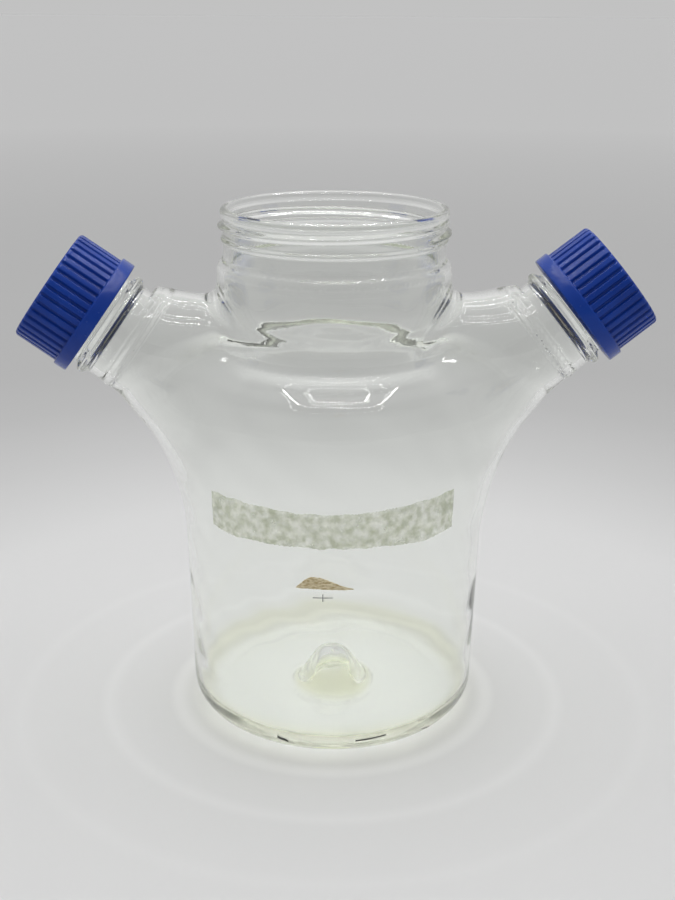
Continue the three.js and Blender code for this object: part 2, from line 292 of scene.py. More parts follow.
def inner_profile():
    pip = [[12.0, 13], [14.6, 8.1], [18.8, FLOOR_TOP], [22, FLOOR_TOP]]
    side = [
        [BODY_RADIUS - WALL, SHOULDER_START - 14],
        [BODY_RADIUS - WALL, SHOULDER_START],
        [64.2, 137.6],
        [63.4, 146],
        [61.9, 151.6],
        [59.9, 155.1],
        [57.6, 157.4],
        [54.2, 160],
        [50.2, 162.3],
        [46.8, 164.7],
        [44.4, 168.2],
        [43.2, 172.4],
        [NECK_RADIUS - WALL, 176.5],
        [43.6, 180.6],
        [45.2, 185.4],
        [46.5, 190],
        [NECK_FLARE_RADIUS - WALL, 195],
        [NECK_FLARE_RADIUS - WALL, 199.6],
        [46.7, 202.6],
        [45.9, 204.6],
        [45.0, 206.3],
        [44.4, 208.2],
        [FINISH_RADIUS - WALL, 210.5],
    ]
    dome = arc(0, PIP_TOP - PIP_RADIUS, PIP_RADIUS, 90, 22)
    return np.vstack(
        [
            dome,
            smooth_line(np.vstack([dome[-1:], pip])),
            arc(BASE_RADIUS - WALL - 9, FLOOR_TOP + 9, 9, -90, 0),
            smooth_line(side),
            [[FINISH_RADIUS - WALL, 300], [0, 300]],
        ]
    )


def waviness(p, phase):
    """The slight unevenness of hand-worked glass, gone at the turned ends."""
    x, y, z = p[..., 0], p[..., 1], p[..., 2]
    waves = (
        np.sin(x / 9.0 + 1.3 * phase) * np.sin(y / 11.0 + 0.7) * np.sin(z / 13.0 + phase)
        + 0.6 * np.sin((x + z) / 6.3 + 2.1 * phase) * np.sin((y - z) / 7.9)
        + 0.8 * np.sin(z / 17.0 + np.arctan2(y, x) * 3 + phase)
    )
    calm = smoothstep(z, 2, 14) * (1 - smoothstep(z, NECK_CALM, NECK_CUT - 2))
    for arm in ARMS:
        calm = calm * (1 - smoothstep(arm.along(p), ARM_CUT - 10, ARM_CUT - 1))
    return HAND_BLOWN * waves * calm


class BlownField:
    """The vessel with both arms flowing into it: its outside, or the space inside it."""

    def __init__(self, profile, arm_radius, seam, phase):
        self.vessel = TurnedField(profile)
        self.arm_radius = arm_radius
        self.seam = seam
        self.phase = phase

    def __call__(self, p):
        total = self.vessel(np.hypot(p[..., 0], p[..., 1]), p[..., 2])
        high = smoothstep(p[..., 2], *BLEND_TURNS_TIGHT)
        reach = ARM_BLEND + (ARM_FILLET - ARM_BLEND) * high
        neck_fade = 1 - smoothstep(p[..., 2], NECK_CALM, NECK_CUT - 2)
        for arm in ARMS:
            fade = neck_fade * (1 - smoothstep(arm.along(p), ARM_CUT - 12, ARM_CUT - 1))
            total = soft_min(total, arm.tube(p, self.arm_radius, self.seam), reach, fade)
        return total + waviness(p, self.phase)

    def gradient(self, p, eps=0.02):
        out = np.empty_like(p)
        for k in range(3):
            step = np.zeros(3)
            step[k] = eps
            out[:, k] = (self(p + step) - self(p - step)) / (2 * eps)
        return out

    def project(self, p, rounds=3):
        for _ in range(rounds):
            g = self.gradient(p)
            p = p - (self(p) / np.maximum((g * g).sum(1), 1e-6))[:, None] * g
        return p


def net(field, low, high, step):
    """Surface net of a field's zero level: points on the surface, and quads."""
    axes = [np.arange(a, b + step, step) for a, b in zip(low, high)]
    grid = np.stack(np.meshgrid(*axes, indexing="ij"), -1)
    value = np.stack([field(slab) for slab in grid])
    inside = value < 0
    cells = tuple(n - 1 for n in value.shape)
    corner = [slice(None, -1), slice(1, None)]
    count = sum(
        inside[corner[a], corner[b], corner[c]].astype(int)
        for a in (0, 1)
        for b in (0, 1)
        for c in (0, 1)
    )
    mixed = (count > 0) & (count < 8)
    number = np.full(cells, -1)
    number[mixed] = np.arange(mixed.sum())
    points = grid[:-1, :-1, :-1][mixed] + step / 2
    quads = []
    for axis in range(3):
        u, v = [k for k in range(3) if k != axis]
        first = [slice(1, -1)] * 3
        first[axis] = slice(None, -1)
        second = list(first)
        second[axis] = slice(1, None)
        edge = inside[tuple(first)] != inside[tuple(second)]
        at = np.argwhere(edge) + np.array([0 if k == axis else 1 for k in range(3)])
        ring = []
        for du, dv in ((0, 0), (-1, 0), (-1, -1), (0, -1)):
            shift = np.zeros(3, int)
            shift[u], shift[v] = du, dv
            ring.append(number[tuple((at + shift).T)])
        quads.append(np.stack(ring, 1))
    return points, np.vstack(quads)


def relax(field, points, quads, rounds=6):
    """Evens out the quads while the points stay on the surface."""
    starts = quads.ravel()
    ends = np.roll(quads, -1, axis=1).ravel()
    link = np.concatenate([starts, ends])
    other = np.concatenate([ends, starts])
    degree = np.bincount(link, minlength=len(points))[:, None]
    points = field.project(points)
    for _ in range(rounds):
        total = np.stack(
            [np.bincount(link, points[other, k], len(points)) for k in range(3)], 1
        )
        points = field.project(points + 0.6 * (total / degree - points), 1)
    return field.project(points)


def cut_planes():
    """The planes that blown glass and turned ends share: origin, outward axis, two spokes."""
    planes = [(np.array([0, 0, NECK_CUT]), np.eye(3)[2], np.eye(3)[0], np.eye(3)[1])]
    for arm in ARMS:
        planes.append((arm.collar + ARM_CUT * arm.out, arm.out, arm.up, arm.back))
    return planes


def blown_surface(field, step):
    """The field's surface up to the cut planes, with the rim that it has in each."""
    reach = max(abs(arm.collar[0]) for arm in ARMS) + 6
    low = [-reach, -BODY_RADIUS - 3, -3]
    high = [reach, BODY_RADIUS + 3, NECK_CUT + 4]
    points, quads = net(field, low, high, step)
    points = relax(field, points, quads)
    for origin, out, _, _ in cut_planes():
        height = (points - origin) @ out
        close = np.abs(height) < 0.35 * step
        points[close] -= height[close, None] * out
    bm = bmesh.new()
    for p in points:
        bm.verts.new(p)
    bm.verts.ensure_lookup_table()
    for quad in quads.tolist():
        bm.faces.new([bm.verts[i] for i in quad])
    for origin, out, _, _ in cut_planes():
        everything = bm.verts[:] + bm.edges[:] + bm.faces[:]
        bmesh.ops.bisect_plane(
            bm,
            geom=everything,
            dist=1e-4,
            plane_co=Vector(origin),
            plane_no=Vector(out),
            clear_outer=True,
        )
    bm.verts.ensure_lookup_table()
    bm.verts.index_update()
    points = np.array([v.co for v in bm.verts])
    faces = [[v.index for v in f.verts] for f in bm.faces]
    open_points = sorted({v.index for e in bm.edges if e.is_boundary for v in e.verts})
    bm.free()
    rims = []
    for origin, out, spoke, other in cut_planes():
        rim = [i for i in open_points if abs((points[i] - origin) @ out) < 0.01]
        angle = np.arctan2((points[rim] - origin) @ other, (points[rim] - origin) @ spoke)
        rims.append([rim[i] for i in np.argsort(angle)])
    return points, faces, rims


# ------------------------------------------------------------------ turned ends
def ridge(angle, height, start, pitch, turns, bearing, half_width, rise):
    """How far a rounded screw ridge stands out at each angle and height."""
    total = np.zeros_like(height)
    turned = np.mod(angle - math.radians(bearing), 2 * math.pi) / (2 * math.pi)
    for lap in range(int(math.ceil(turns)) + 1):
        progress = turned + lap
        centre = start + pitch * progress
        off = np.clip(np.abs(height - centre) / half_width, 0, 1)
        begins = smoothstep(progress, 0, THREAD_RUN_OUT)
        ends = begins * (1 - smoothstep(progress, turns - THREAD_RUN_OUT, turns))
        total = np.maximum(total, rise * np.cos(off * math.pi / 2) ** 1.5 * ends)
    return total


def turned_end(profile, outer_count, around, stand_out):
    """Rings of points over a rim: radius and height along a profile, turned in `around` steps.

    The first outer_count rings are outside and carry what stand_out adds.
    """
    angle = np.linspace(-math.pi, math.pi, around, endpoint=False)
    radius = np.repeat(profile[:, :1], around, 1)
    height = np.repeat(profile[:, 1:], around, 1)
    outside = np.arange(len(profile))[:, None] < outer_count
    angles = np.repeat(angle[None], len(profile), 0)
    radius = radius + np.where(outside, stand_out(angles, height), 0)
    return np.stack([radius * np.cos(angles), radius * np.sin(angles), height], -1)


def neck_end():
    """The 100 mm screw finish: waist, transfer bead, screw ridge and rounded lip."""
    low = NECK_CUT + 0.9
    side = np.linspace(low, 224.4, 60)
    from_bead = np.clip(np.abs(side - BEAD_LEVEL) / BEAD_HALF_HEIGHT, 0, 1)
    bead = BEAD_RISE * np.cos(from_bead * math.pi / 2) ** 2
    outside = np.stack([FINISH_RADIUS + bead, side], 1)
    lip = smooth_line(
        [
            [FINISH_RADIUS, 224.6],
            [48.1, 225.6],
            [LIP_RADIUS, 226.9],
            [48.2, 228.3],
            [47.0, HEIGHT],
            [45.6, 228.8],
            [44.6, 227.6],
            [FINISH_RADIUS - WALL, 225],
        ],
        7,
    )
    inside = np.stack([np.full(14, FINISH_RADIUS - WALL), np.linspace(224, low, 14)], 1)

    def stand_out(angle, height):
        return ridge(angle, height, **NECK_THREAD)

    return turned_end(np.vstack([outside, lip, inside]), len(side), NECK_STEPS, stand_out)


def arm_end():
    """The GL45 end: plain tube, ring bead, screw ridge and rounded rim."""
    low = ARM_CUT + 0.8
    bead = smooth_line(
        [
            [ARM_RADIUS, low],
            [ARM_RADIUS, -9.5],
            [21.7, -8.2],
            [22.5, -7.2],
            [23.75, -6.2],
            [24.0, -5.0],
            [23.75, -3.8],
            [22.4, -2.9],
            [21.2, -2.2],
            [20.9, -1.2],
        ],
        5,
    )
    side = np.stack([np.full(44, 20.9), np.linspace(-0.8, 18.8, 44)], 1)
    lip = smooth_line(
        [[20.9, 19.2], [20.5, 20.3], [19.5, 21.0], [18.6, 20.8], [17.9, 20.1], [17.8, 19]], 5
    )
    inside = smooth_line(
        [
            [17.8, 17],
            [17.8, 8],
            [17.8, 0],
            [17.9, -3],
            [18.4, -6],
            [18.85, -8.5],
            [ARM_BORE, low],
        ],
        4,
    )
    outer_count = len(bead) + len(side)

    def stand_out(angle, height):
        return ridge(angle, height, **ARM_THREAD)

    return turned_end(np.vstack([bead, side, lip, inside]), outer_count, ARM_STEPS, stand_out)


def zip_rings(first, second, angle_first, angle_second):
    """Triangles between two closed rings of points, each sorted by angle."""
    faces = []
    i = j = 0
    n, m = len(first), len(second)
    while i < n or j < m:
        next_i = angle_first[(i + 1) % n] + (2 * math.pi if i + 1 >= n else 0)
        next_j = angle_second[(j + 1) % m] + (2 * math.pi if j + 1 >= m else 0)
        if j >= m or (i < n and next_i <= next_j):
            faces.append([first[i % n], first[(i + 1) % n], second[j % m]])
            i += 1
        else:
            faces.append([first[i % n], second[(j + 1) % m], second[j % m]])
            j += 1
    return faces


def grid_faces(rows, columns, start=0):
    """Quads of a grid whose rows close on themselves."""
    faces = []
    for row in range(rows - 1):
        for column in range(columns):
            after = (column + 1) % columns
            a = start + row * columns
            faces.append([a + column, a + after, a + columns + after, a + columns + column])
    return faces


def grid_normals(rings):
    """Normals of a grid of rings, pointing away from the tube's middle on its first rings."""
    around = np.roll(rings, -1, axis=1) - np.roll(rings, 1, axis=1)
    down = np.gradient(rings, axis=0)
    normal = np.cross(around, down)
    return normal / np.linalg.norm(normal, axis=-1, keepdims=True)


def glass_mesh():
    """All the glass as one closed surface: points, faces and normals."""
    step = GRID
    outside = BlownField(outer_profile(), ARM_RADIUS, SEAM_RISE, 0.4)
    inside = BlownField(inner_profile(), ARM_BORE, -SEAM_RISE, 2.6)
    points, faces, normals = [], [], []
    total = 0
    rims = []
    for field, sign in ((outside, 1), (inside, -1)):
        p, f, r = blown_surface(field, step)
        gradient = field.gradient(p)
        normals.append(sign * gradient / np.linalg.norm(gradient, axis=1, keepdims=True))
        points.append(p)
        faces += [[i + total for i in face] for face in f]
        rims.append([[i + total for i in rim] for rim in r])
        total += len(p)
    ends = [neck_end()] + [arm_end()] * len(ARMS)
    for k, ((origin, out, spoke, other), rings) in enumerate(zip(cut_planes(), ends)):
        base = np.zeros(3) if k == 0 else ARMS[k - 1].collar
        turn = np.array([spoke, other, out])
        placed = base + rings @ turn
        rows, around = rings.shape[:2]
        sense = np.sign(np.dot(np.cross(spoke, other), out))
        normals.append((sense * grid_normals(placed)).reshape(-1, 3))
        faces += grid_faces(rows, around, total)
        every = np.vstack(points + [placed.reshape(-1, 3)])
        for rim, ring in ((rims[0][k], 0), (rims[1][k], rows - 1)):
            loop = list(range(total + ring * around, total + (ring + 1) * around))
            angles = [
                np.arctan2((every[i] - origin) @ other, (every[i] - origin) @ spoke)
                for i in (rim, loop)
            ]
            angles[1] = np.where(angles[1] > math.pi - 1e-9, -math.pi, angles[1])
            faces += zip_rings(rim, loop, *angles)
        points.append(placed.reshape(-1, 3))
        total += rows * around
    return np.vstack(points), faces, np.vstack(normals)


def new_object(name, data):
    obj = bpy.data.objects.new(name, data)
    bpy.context.scene.collection.objects.link(obj)
    return obj


def new_mesh(name, points, faces, material):
    """A smooth mesh object from points in mm, its faces turned to point outwards."""
    mesh = bpy.data.meshes.new(name)
    mesh.from_pydata((np.asarray(points) * MM).tolist(), [], faces)
    bm = bmesh.new()
    bm.from_mesh(mesh)
    bmesh.ops.recalc_face_normals(bm, faces=bm.faces)
    bm.to_mesh(mesh)
    bm.free()
    mesh.polygons.foreach_set("use_smooth", [True] * len(mesh.polygons))
    mesh.materials.append(material)
    return new_object(name, mesh)


# ------------------------------------------------------------------ materials
def new_material(name):
    material = bpy.data.materials.new(name)
    material.use_nodes = True
    tree = material.node_tree
    shader = tree.nodes["Principled BSDF"]
    return material, tree, shader


def add_node(tree, kind, inputs=None, **settings):
    node = tree.nodes.new(kind)
    for key, value in settings.items():
        setattr(node, key, value)
    for key, value in (inputs or {}).items():
        node.inputs[key].default_value = value
    return node


def noise(tree, scale, detail, stretch=(1, 1, 1)):
    """A noise texture in object coordinates, stretched along the axes."""
    where = add_node(tree, "ShaderNodeTexCoord")
    mapping = add_node(tree, "ShaderNodeMapping", {"Scale": stretch})
    texture = add_node(tree, "ShaderNodeTexNoise", {"Scale": scale, "Detail": detail})
    tree.links.new(where.outputs["Object"], mapping.inputs["Vector"])
    tree.links.new(mapping.outputs["Vector"], texture.inputs["Vector"])
    return texture


def ramp(tree, source, stops):
    """A colour ramp fed by source; stops are (position, colour)."""
    node = add_node(tree, "ShaderNodeValToRGB")
    elements = node.color_ramp.elements
    for element, (position, colour) in zip(elements, stops):
        element.position, element.color = position, colour
    for position, colour in stops[2:]:
        elements.new(position).color = colour
    tree.links.new(source, node.inputs["Fac"])
    return node


def bump(tree, shader, texture, strength, distance):
    node = add_node(tree, "ShaderNodeBump", {"Strength": strength, "Distance": distance})
    tree.links.new(texture.outputs["Fac"], node.inputs["Height"])
    tree.links.new(node.outputs["Normal"], shader.inputs["Normal"])


def mottle(tree, shader, socket, texture, stops):
    """Drives one input of the shader by a texture through a colour ramp."""
    colour = ramp(tree, texture.outputs["Fac"], stops)
    tree.links.new(colour.outputs["Color"], shader.inputs[socket])


def stretched_to(tree, source, far):
    """Maps 0 to far onto 0 to 1."""
    node = add_node(tree, "ShaderNodeMapRange", {"From Max": far})
    tree.links.new(source, node.inputs["Value"])
    return node.outputs["Result"]


def multiplied(tree, first, second):
    node = add_node(tree, "ShaderNodeMix", {"Factor": 1.0}, data_type="RGBA", blend_type="MULTIPLY")
    tree.links.new(first, node.inputs["A"])
    tree.links.new(second, node.inputs["B"])
    return node.outputs["Result"]


def grey(value):
    return (value, value, value, 1.0)


def glass_material():
    """Clear borosilicate, olive in the heel and beside the pip, with a few smudges.

    Lamps shine through it: for shadow rays it is simply see-through.
    """
    material, tree, shader = new_material("borosilicate")
    where = add_node(tree, "ShaderNodeTexCoord")
    flat = add_node(tree, "ShaderNodeVectorMath", {1: (1, 1, 0)}, operation="MULTIPLY")
    tree.links.new(where.outputs["Object"], flat.inputs[0])
    reach = add_node(tree, "ShaderNodeVectorMath", operation="LENGTH")
    tree.links.new(flat.outputs["Vector"], reach.inputs[0])
    thick = ramp(
        tree,
        reach.outputs["Value"],
        [(0.0145, grey(1)), (0.0185, grey(0)), (0.0575, grey(0)), (0.0625, grey(1))],
    )
    parts = add_node(tree, "ShaderNodeSeparateXYZ")
    tree.links.new(where.outputs["Object"], parts.inputs["Vector"])
    low = ramp(tree, parts.outputs["Z"], [(0.011, grey(1)), (0.017, grey(0))])
    share = add_node(tree, "ShaderNodeMath", operation="MULTIPLY")
    tree.links.new(thick.outputs["Color"], share.inputs[0])
    tree.links.new(low.outputs["Color"], share.inputs[1])
    body = ramp(tree, share.outputs["Value"], [(0, HEEL_CLEAR), (1, HEEL_TINT)])
    tree.links.new(body.outputs["Color"], shader.inputs["Base Color"])
    shader.inputs["Transmission Weight"].default_value = 1.0
    shader.inputs["IOR"].default_value = 1.474
    mottle(tree, shader, "Roughness", noise(tree, 28, 6), [(0.50, grey(0.0)), (0.85, grey(0.03))])
    tint = add_node(
        tree, "ShaderNodeVolumeAbsorption", {"Color": (0.84, 0.90, 0.70, 1), "Density": 1.6}
    )
    path = add_node(tree, "ShaderNodeLightPath")
    clear = add_node(tree, "ShaderNodeBsdfTransparent", {"Color": (0.915, 0.92, 0.905, 1)})
    either = add_node(tree, "ShaderNodeMixShader")
    tree.links.new(path.outputs["Is Shadow Ray"], either.inputs["Fac"])
    tree.links.new(shader.outputs["BSDF"], either.inputs[1])
    tree.links.new(clear.outputs["BSDF"], either.inputs[2])
    output = tree.nodes["Material Output"]
    tree.links.new(either.outputs["Shader"], output.inputs["Surface"])
    tree.links.new(tint.outputs["Volume"], output.inputs["Volume"])
    return material


def blue_plastic():
    """Moulded blue polypropylene: deep, slightly mottled, with a fine orange-peel skin."""
    material, tree, shader = new_material("blue_polypropylene")
    blues = [(0.3, (0.003, 0.038, 0.30, 1)), (0.7, (0.006, 0.054, 0.38, 1))]
    mottle(tree, shader, "Base Color", noise(tree, 60, 5), blues)
    wear = [(0.35, grey(0.16)), (0.75, grey(0.30))]
    mottle(tree, shader, "Roughness", noise(tree, 220, 3), wear)
    bump(tree, shader, noise(tree, 1500, 2), 0.06, 0.0002)
    shader.inputs["IOR"].default_value = 1.38
    return material


def liner_material():
    material, tree, shader = new_material("silicone_liner")
    speck = noise(tree, 300, 3)
    creams = [(0.3, (0.70, 0.68, 0.60, 1)), (0.7, (0.80, 0.78, 0.71, 1))]
    mottle(tree, shader, "Base Color", speck, creams)
    shader.inputs["Roughness"].default_value = 0.55
    bump(tree, shader, speck, 0.1, 0.0002)
    return material


def residue_material():
    """Dried label adhesive: a patchy, half-clear olive-grey film with pale blotches, and a faint
    painted glow in the same tones that brightens it as light on it would.
    """
    material, tree, shader = new_material("label_adhesive_with_painted_glow")
    blotch = noise(tree, 330, 7)
    olive_tones_and_glow = [(0.38, (0.60, 0.64, 0.48, 1)), (0.62, (0.92, 0.94, 0.84, 1))]
    mottle(tree, shader, "Base Color", blotch, olive_tones_and_glow)
    # painted light: the same tones also glow faintly, brightening the film
    mottle(tree, shader, "Emission Color", blotch, olive_tones_and_glow)
    cover = [(0.36, grey(0.34)), (0.62, grey(0.66))]
    mottle(tree, shader, "Alpha", noise(tree, 210, 8), cover)
    shader.inputs["Roughness"].default_value = 0.6
    # painted light: how strongly the film glows
    shader.inputs["Emission Strength"].default_value = 0.10
    bump(tree, shader, blotch, 0.5, 0.0004)
    return material


def paper_material():
    material, tree, shader = new_material("brown_paper")
    fibre = noise(tree, 500, 8, (1, 1, 3))
    browns = [(0.35, (0.56, 0.42, 0.19, 1)), (0.62, (0.95, 0.85, 0.60, 1))]
    mottle(tree, shader, "Base Color", fibre, browns)
    shader.inputs["Roughness"].default_value = 0.9
    bump(tree, shader, fibre, 0.6, 0.0003)
    return material


def ink_material(name, dark, light):
    material, tree, shader = new_material(name)
    fade = [(0.3, grey(dark)), (0.75, grey(light))]
    mottle(tree, shader, "Base Color", noise(tree, 700, 4), fade)
    shader.inputs["Roughness"].default_value = 0.5
    return material


# ------------------------------------------------------------------ caps
def rib_shape(angle):
    """1 on a rib's flat top, 0 in the groove between two ribs."""
    share = np.abs(np.mod(angle * CAP_RIBS / (2 * math.pi), 1) - 0.5) * 2
    return smoothstep(share, 0.20, 0.46)


def cap_outline():
    """Radius, height and how far the ribs stand out, from the mouth's edge to the top's middle."""
    rows = [
        (26.35, 0.15, 0),
        (26.75, 0.0, 0),
        (26.95, 0.25, 0),
        (27.0, 0.7, 0),
        (27.0, 3.0, 0),
        (27.0, 5.3, 0),
        (26.93, 5.7, 0),
        (26.6, 5.95, 0),
        (25.9, 6.0, 0),
        (25.75, 6.05, 0.1),
        (25.7, 6.35, 0.9),
        (25.66, 6.8, 1),
    ]
    rows += [(25.66 - 0.2 * t, 6.8 + 17.2 * t, 1) for t in np.linspace(0.1, 1, 10)]
    corner = arc(23.6, 24.4, 1.8, 8, 90, 9)
    fade = np.linspace(0.9, 0, 7).tolist() + [0, 0]
    rows += [(r + 0.06, z, f) for (r, z), f in zip(corner, fade)]
    rows += [(22.6, 26.2, 0), (22.0, 26.05, 0), (21.0, 25.95, 0), (16, 25.9, 0), (8, 25.88, 0)]
    return np.array(rows)


def cap_inside():
    """The plain cavity from the mouth's edge to the middle of its ceiling."""
    ceiling = CAP_HEIGHT - CAP_TOP_THICKNESS
    rows = [(25.6, 0.1), (24.2, 0.5), (23.5, 1.2), (23.2, 2.0)]
    rows += [(23.2, z) for z in np.linspace(2.6, 19, 42)]
    rows += [(23.2, 22.6), (22.9, ceiling - 0.2), (22.0, ceiling), (12, ceiling), (5, ceiling)]
    return np.array(rows)


def screw_cap(arm, material):
    """A ribbed GL45 cap, turned and fluted in the arm's own frame."""
    around = CAP_RIBS * STEPS_PER_RIB
    angle = np.linspace(-math.pi, math.pi, around, endpoint=False)
    outline, cavity = cap_outline(), cap_inside()
    radius = outline[:, :1] - RIB_DEPTH * outline[:, 2:] * (1 - rib_shape(angle))[None]
    outer = np.stack(
        [radius * np.cos(angle), radius * np.sin(angle), np.repeat(outline[:, 1:2], around, 1)], -1
    )
    inner_angle = np.repeat(angle[None], len(cavity), 0)
    height = np.repeat(cavity[:, 1:], around, 1)
    thread = ridge(inner_angle, height, **CAP_THREAD)
    depth = cavity[:, :1] - np.where(height < 20, thread, 0)
    inner = np.stack([depth * np.cos(inner_angle), depth * np.sin(inner_angle), height], -1)
    rings = np.concatenate([outer[::-1], inner])
    points = rings.reshape(-1, 3)
    faces = grid_faces(len(rings), around)
    top, ceiling = len(points), len(points) + 1
    centres = np.array([[0, 0, outline[-1, 1]], [0, 0, cavity[-1, 1]]])
    last = (len(rings) - 1) * around
    for column in range(around):
        after = (column + 1) % around
        faces.append([top, after, column])
        faces.append([ceiling, last + column, last + after])
    points = np.vstack([points, centres])
    obj = new_mesh(arm.side + "_screw_cap", arm.place(points), faces, material)
    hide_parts(arm.side + "_cap")
    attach(obj, arm.side + "_cap")


def turned_piece(name, rows, around, place, material):
    """A closed piece turned from a profile that starts and ends on its axis."""
    angle = np.linspace(-math.pi, math.pi, around, endpoint=False)
    body = np.array(rows[1:-1])
    rings = np.stack(
        [
            body[:, :1] * np.cos(angle),
            body[:, :1] * np.sin(angle),
            np.repeat(body[:, 1:], around, 1),
        ],
        -1,
    )
    points = np.vstack([rings.reshape(-1, 3), [[0, 0, rows[0][1]], [0, 0, rows[-1][1]]]])
    faces = grid_faces(len(body), around)
    first, last = len(points) - 2, len(points) - 1
    start = (len(body) - 1) * around
    for column in range(around):
        after = (column + 1) % around
        faces.append([first, after, column])
        faces.append([last, start + column, start + after])
    return new_mesh(name, place(points), faces, material)


def sealing_disc(arm, material):
    """The silicone disc in the cap, with a raised bead where the glass rim presses."""
    top = CAP_HEIGHT - CAP_TOP_THICKNESS - DISC_GAP
    low = top - DISC_THICKNESS
    rows = [
        (0, low),
        (8, low),
        (16.8, low),
        (17.4, low + 0.12),
        (20.2, low + 0.12),
        (20.6, low + 0.05),
        (20.9, low + 0.2),
        (21.0, low + 0.5),
        (21.0, top - 0.4),
        (20.8, top - 0.1),
        (20.5, top),
        (10, top),
        (0, top),
    ]
    obj = turned_piece(arm.side + "_sealing_disc", rows, DISC_STEPS, arm.place, material)
    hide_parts(arm.side + "_liner")
    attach(obj, arm.side + "_seal")


# ------------------------------------------------------------------ what is stuck on the glass
def side_radius(z):
    """Outside radius of the vessel between the bench and the shoulder."""
    share = (z - HEEL_RADIUS) / (SHOULDER_START - 14 - HEEL_RADIUS)
    heel = HEEL_RADIUS - np.sqrt(HEEL_RADIUS**2 - np.clip(HEEL_RADIUS - z, 0, HEEL_RADIUS) ** 2)
    return BASE_RADIUS + (BODY_RADIUS - BASE_RADIUS) * np.clip(share, 0, 1) - heel


def film(name, low, high, lift, thickness, material, rows=8):
    """A thin skin on the front of the vessel between two lines of (bearing, height) points.

    Bearings are degrees to the right of the front.
    """
    low, high = np.asarray(low, float), np.asarray(high, float)
    columns = len(low)
    share = np.linspace(0, 1, rows)[:, None, None]
    sheet = low[None] * (1 - share) + high[None] * share
    bearing, height = np.radians(sheet[..., 0]), sheet[..., 1]

    def skin(offset):
        radius = side_radius(height) + offset
        return np.stack([radius * np.sin(bearing), -radius * np.cos(bearing), height], -1)

    points = np.concatenate([skin(lift).reshape(-1, 3), skin(lift + thickness).reshape(-1, 3)])
    under = rows * columns
    faces = []
    for r in range(rows - 1):
        for c in range(columns - 1):
            a = r * columns + c
            quad = [a, a + 1, a + columns + 1, a + columns]
            faces += [quad, [i + under for i in reversed(quad)]]
    edge = list(range(columns))
    edge += [r * columns + columns - 1 for r in range(1, rows)]
    edge += [(rows - 1) * columns + c for c in range(columns - 2, -1, -1)]
    edge += [r * columns for r in range(rows - 2, 0, -1)]
    for a, b in zip(edge, edge[1:] + edge[:1]):
        faces.append([a, b, b + under, a + under])
    obj = new_mesh(name, points, faces, material)
    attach(obj, "flask")
    return obj


def ragged(x, amount, seed):
    """A torn edge: small repeatable steps along x."""
    rng = np.random.default_rng(seed)
    coarse = np.interp(x, np.linspace(x[0], x[-1], 25), rng.uniform(-1, 1, 25))
    return amount * (coarse + 0.4 * rng.uniform(-1, 1, len(x)))


def band(low, high, columns, roughness):
    """Lower and upper line of a film, each drawn smoothly through a few (bearing, height)."""
    bearing = np.linspace(low[0][0], low[-1][0], columns)
    lines = []
    for seed, line in enumerate((low, high)):
        through = smooth_line(line)
        height = np.interp(bearing, through[:, 0], through[:, 1])
        lines.append(np.stack([bearing, height + ragged(bearing, roughness, seed)], 1))
    return lines


def label_residue(material):
    """The strip that a peeled label left across the front."""
    low, high = band(
        [
            (-50.5, 102.2),
            (-33, 100.9),
            (-14, 101),
            (0, 101.2),
            (18, 100.9),
            (34, 100.6),
            (45.6, 102),
        ],
        [(-50.5, 117.6), (-36, 117.2), (-14, 116.2), (0, 116), (21, 117.6), (45.6, 118.8)],
        220,
        0.5,
    )
    obj = film("label_film", low, high, FILM_LIFT, 0.12, material)
    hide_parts("label_residue")


def paper_scrap(material):
    """A torn scrap of brown paper under the label's place."""
    low, high = band(
        [(-15.2, 82.9), (-6, 82.8), (5.2, 82.6)],
        [
            (-15.2, 83.2),
            (-12.7, 86),
            (-10.6, 87.9),
            (-7.4, 88.2),
            (-3, 86.6),
            (1.4, 84.3),
            (5.2, 82.9),
        ],
        60,
        0.12,
    )
    obj = film("paper_shred", low, high, SCRAP_LIFT, 0.2, material, 6)
    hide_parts("paper_scrap")


def pen_marks(ink, pencil):
    """A small grey cross under the scrap, and black ink left on the heel."""
    strokes = (
        ("cross_bar", pencil, [(-9.2, 78.7), (-2.1, 78.9)], 0.35),
        ("cross_post", pencil, [(-5.8, 77.2), (-5.45, 77.2)], 3.4),
        ("ink_blot", ink, [(-23.6, 8.4), (-22.2, 7.6), (-20.8, 7.4), (-19.4, 6.4)], 1.7),
        ("ink_dash", ink, [(6.8, 9.2), (12.5, 9.6), (18.8, 10.3)], 0.75),
        ("ink_speck", ink, [(36.8, 6.3), (41.4, 5.4)], 0.6),
    )
    for name, material, low, tall in strokes:
        high = [(bearing, height + tall) for bearing, height in low]
        film(name, *band(low, high, 16, 0.0), MARK_LIFT, 0.1, material, 5)


# ------------------------------------------------------------------ the stage
def top_light():
    """A soft light above, unseen by reflections so that only the small lamps glint."""
    data = bpy.data.lights.new("top_light", "AREA")
    data.shape = "RECTANGLE"
    data.size, data.size_y = TOP_LIGHT_SIZE
    data.energy = TOP_LIGHT_POWER
    obj = new_object("top_light", data)
    obj.visible_glossy = False
    obj.visible_transmission = False
    obj.location = TOP_LIGHT
    obj.rotation_euler = (-Vector(TOP_LIGHT)).to_track_quat("-Z", "Y").to_euler()


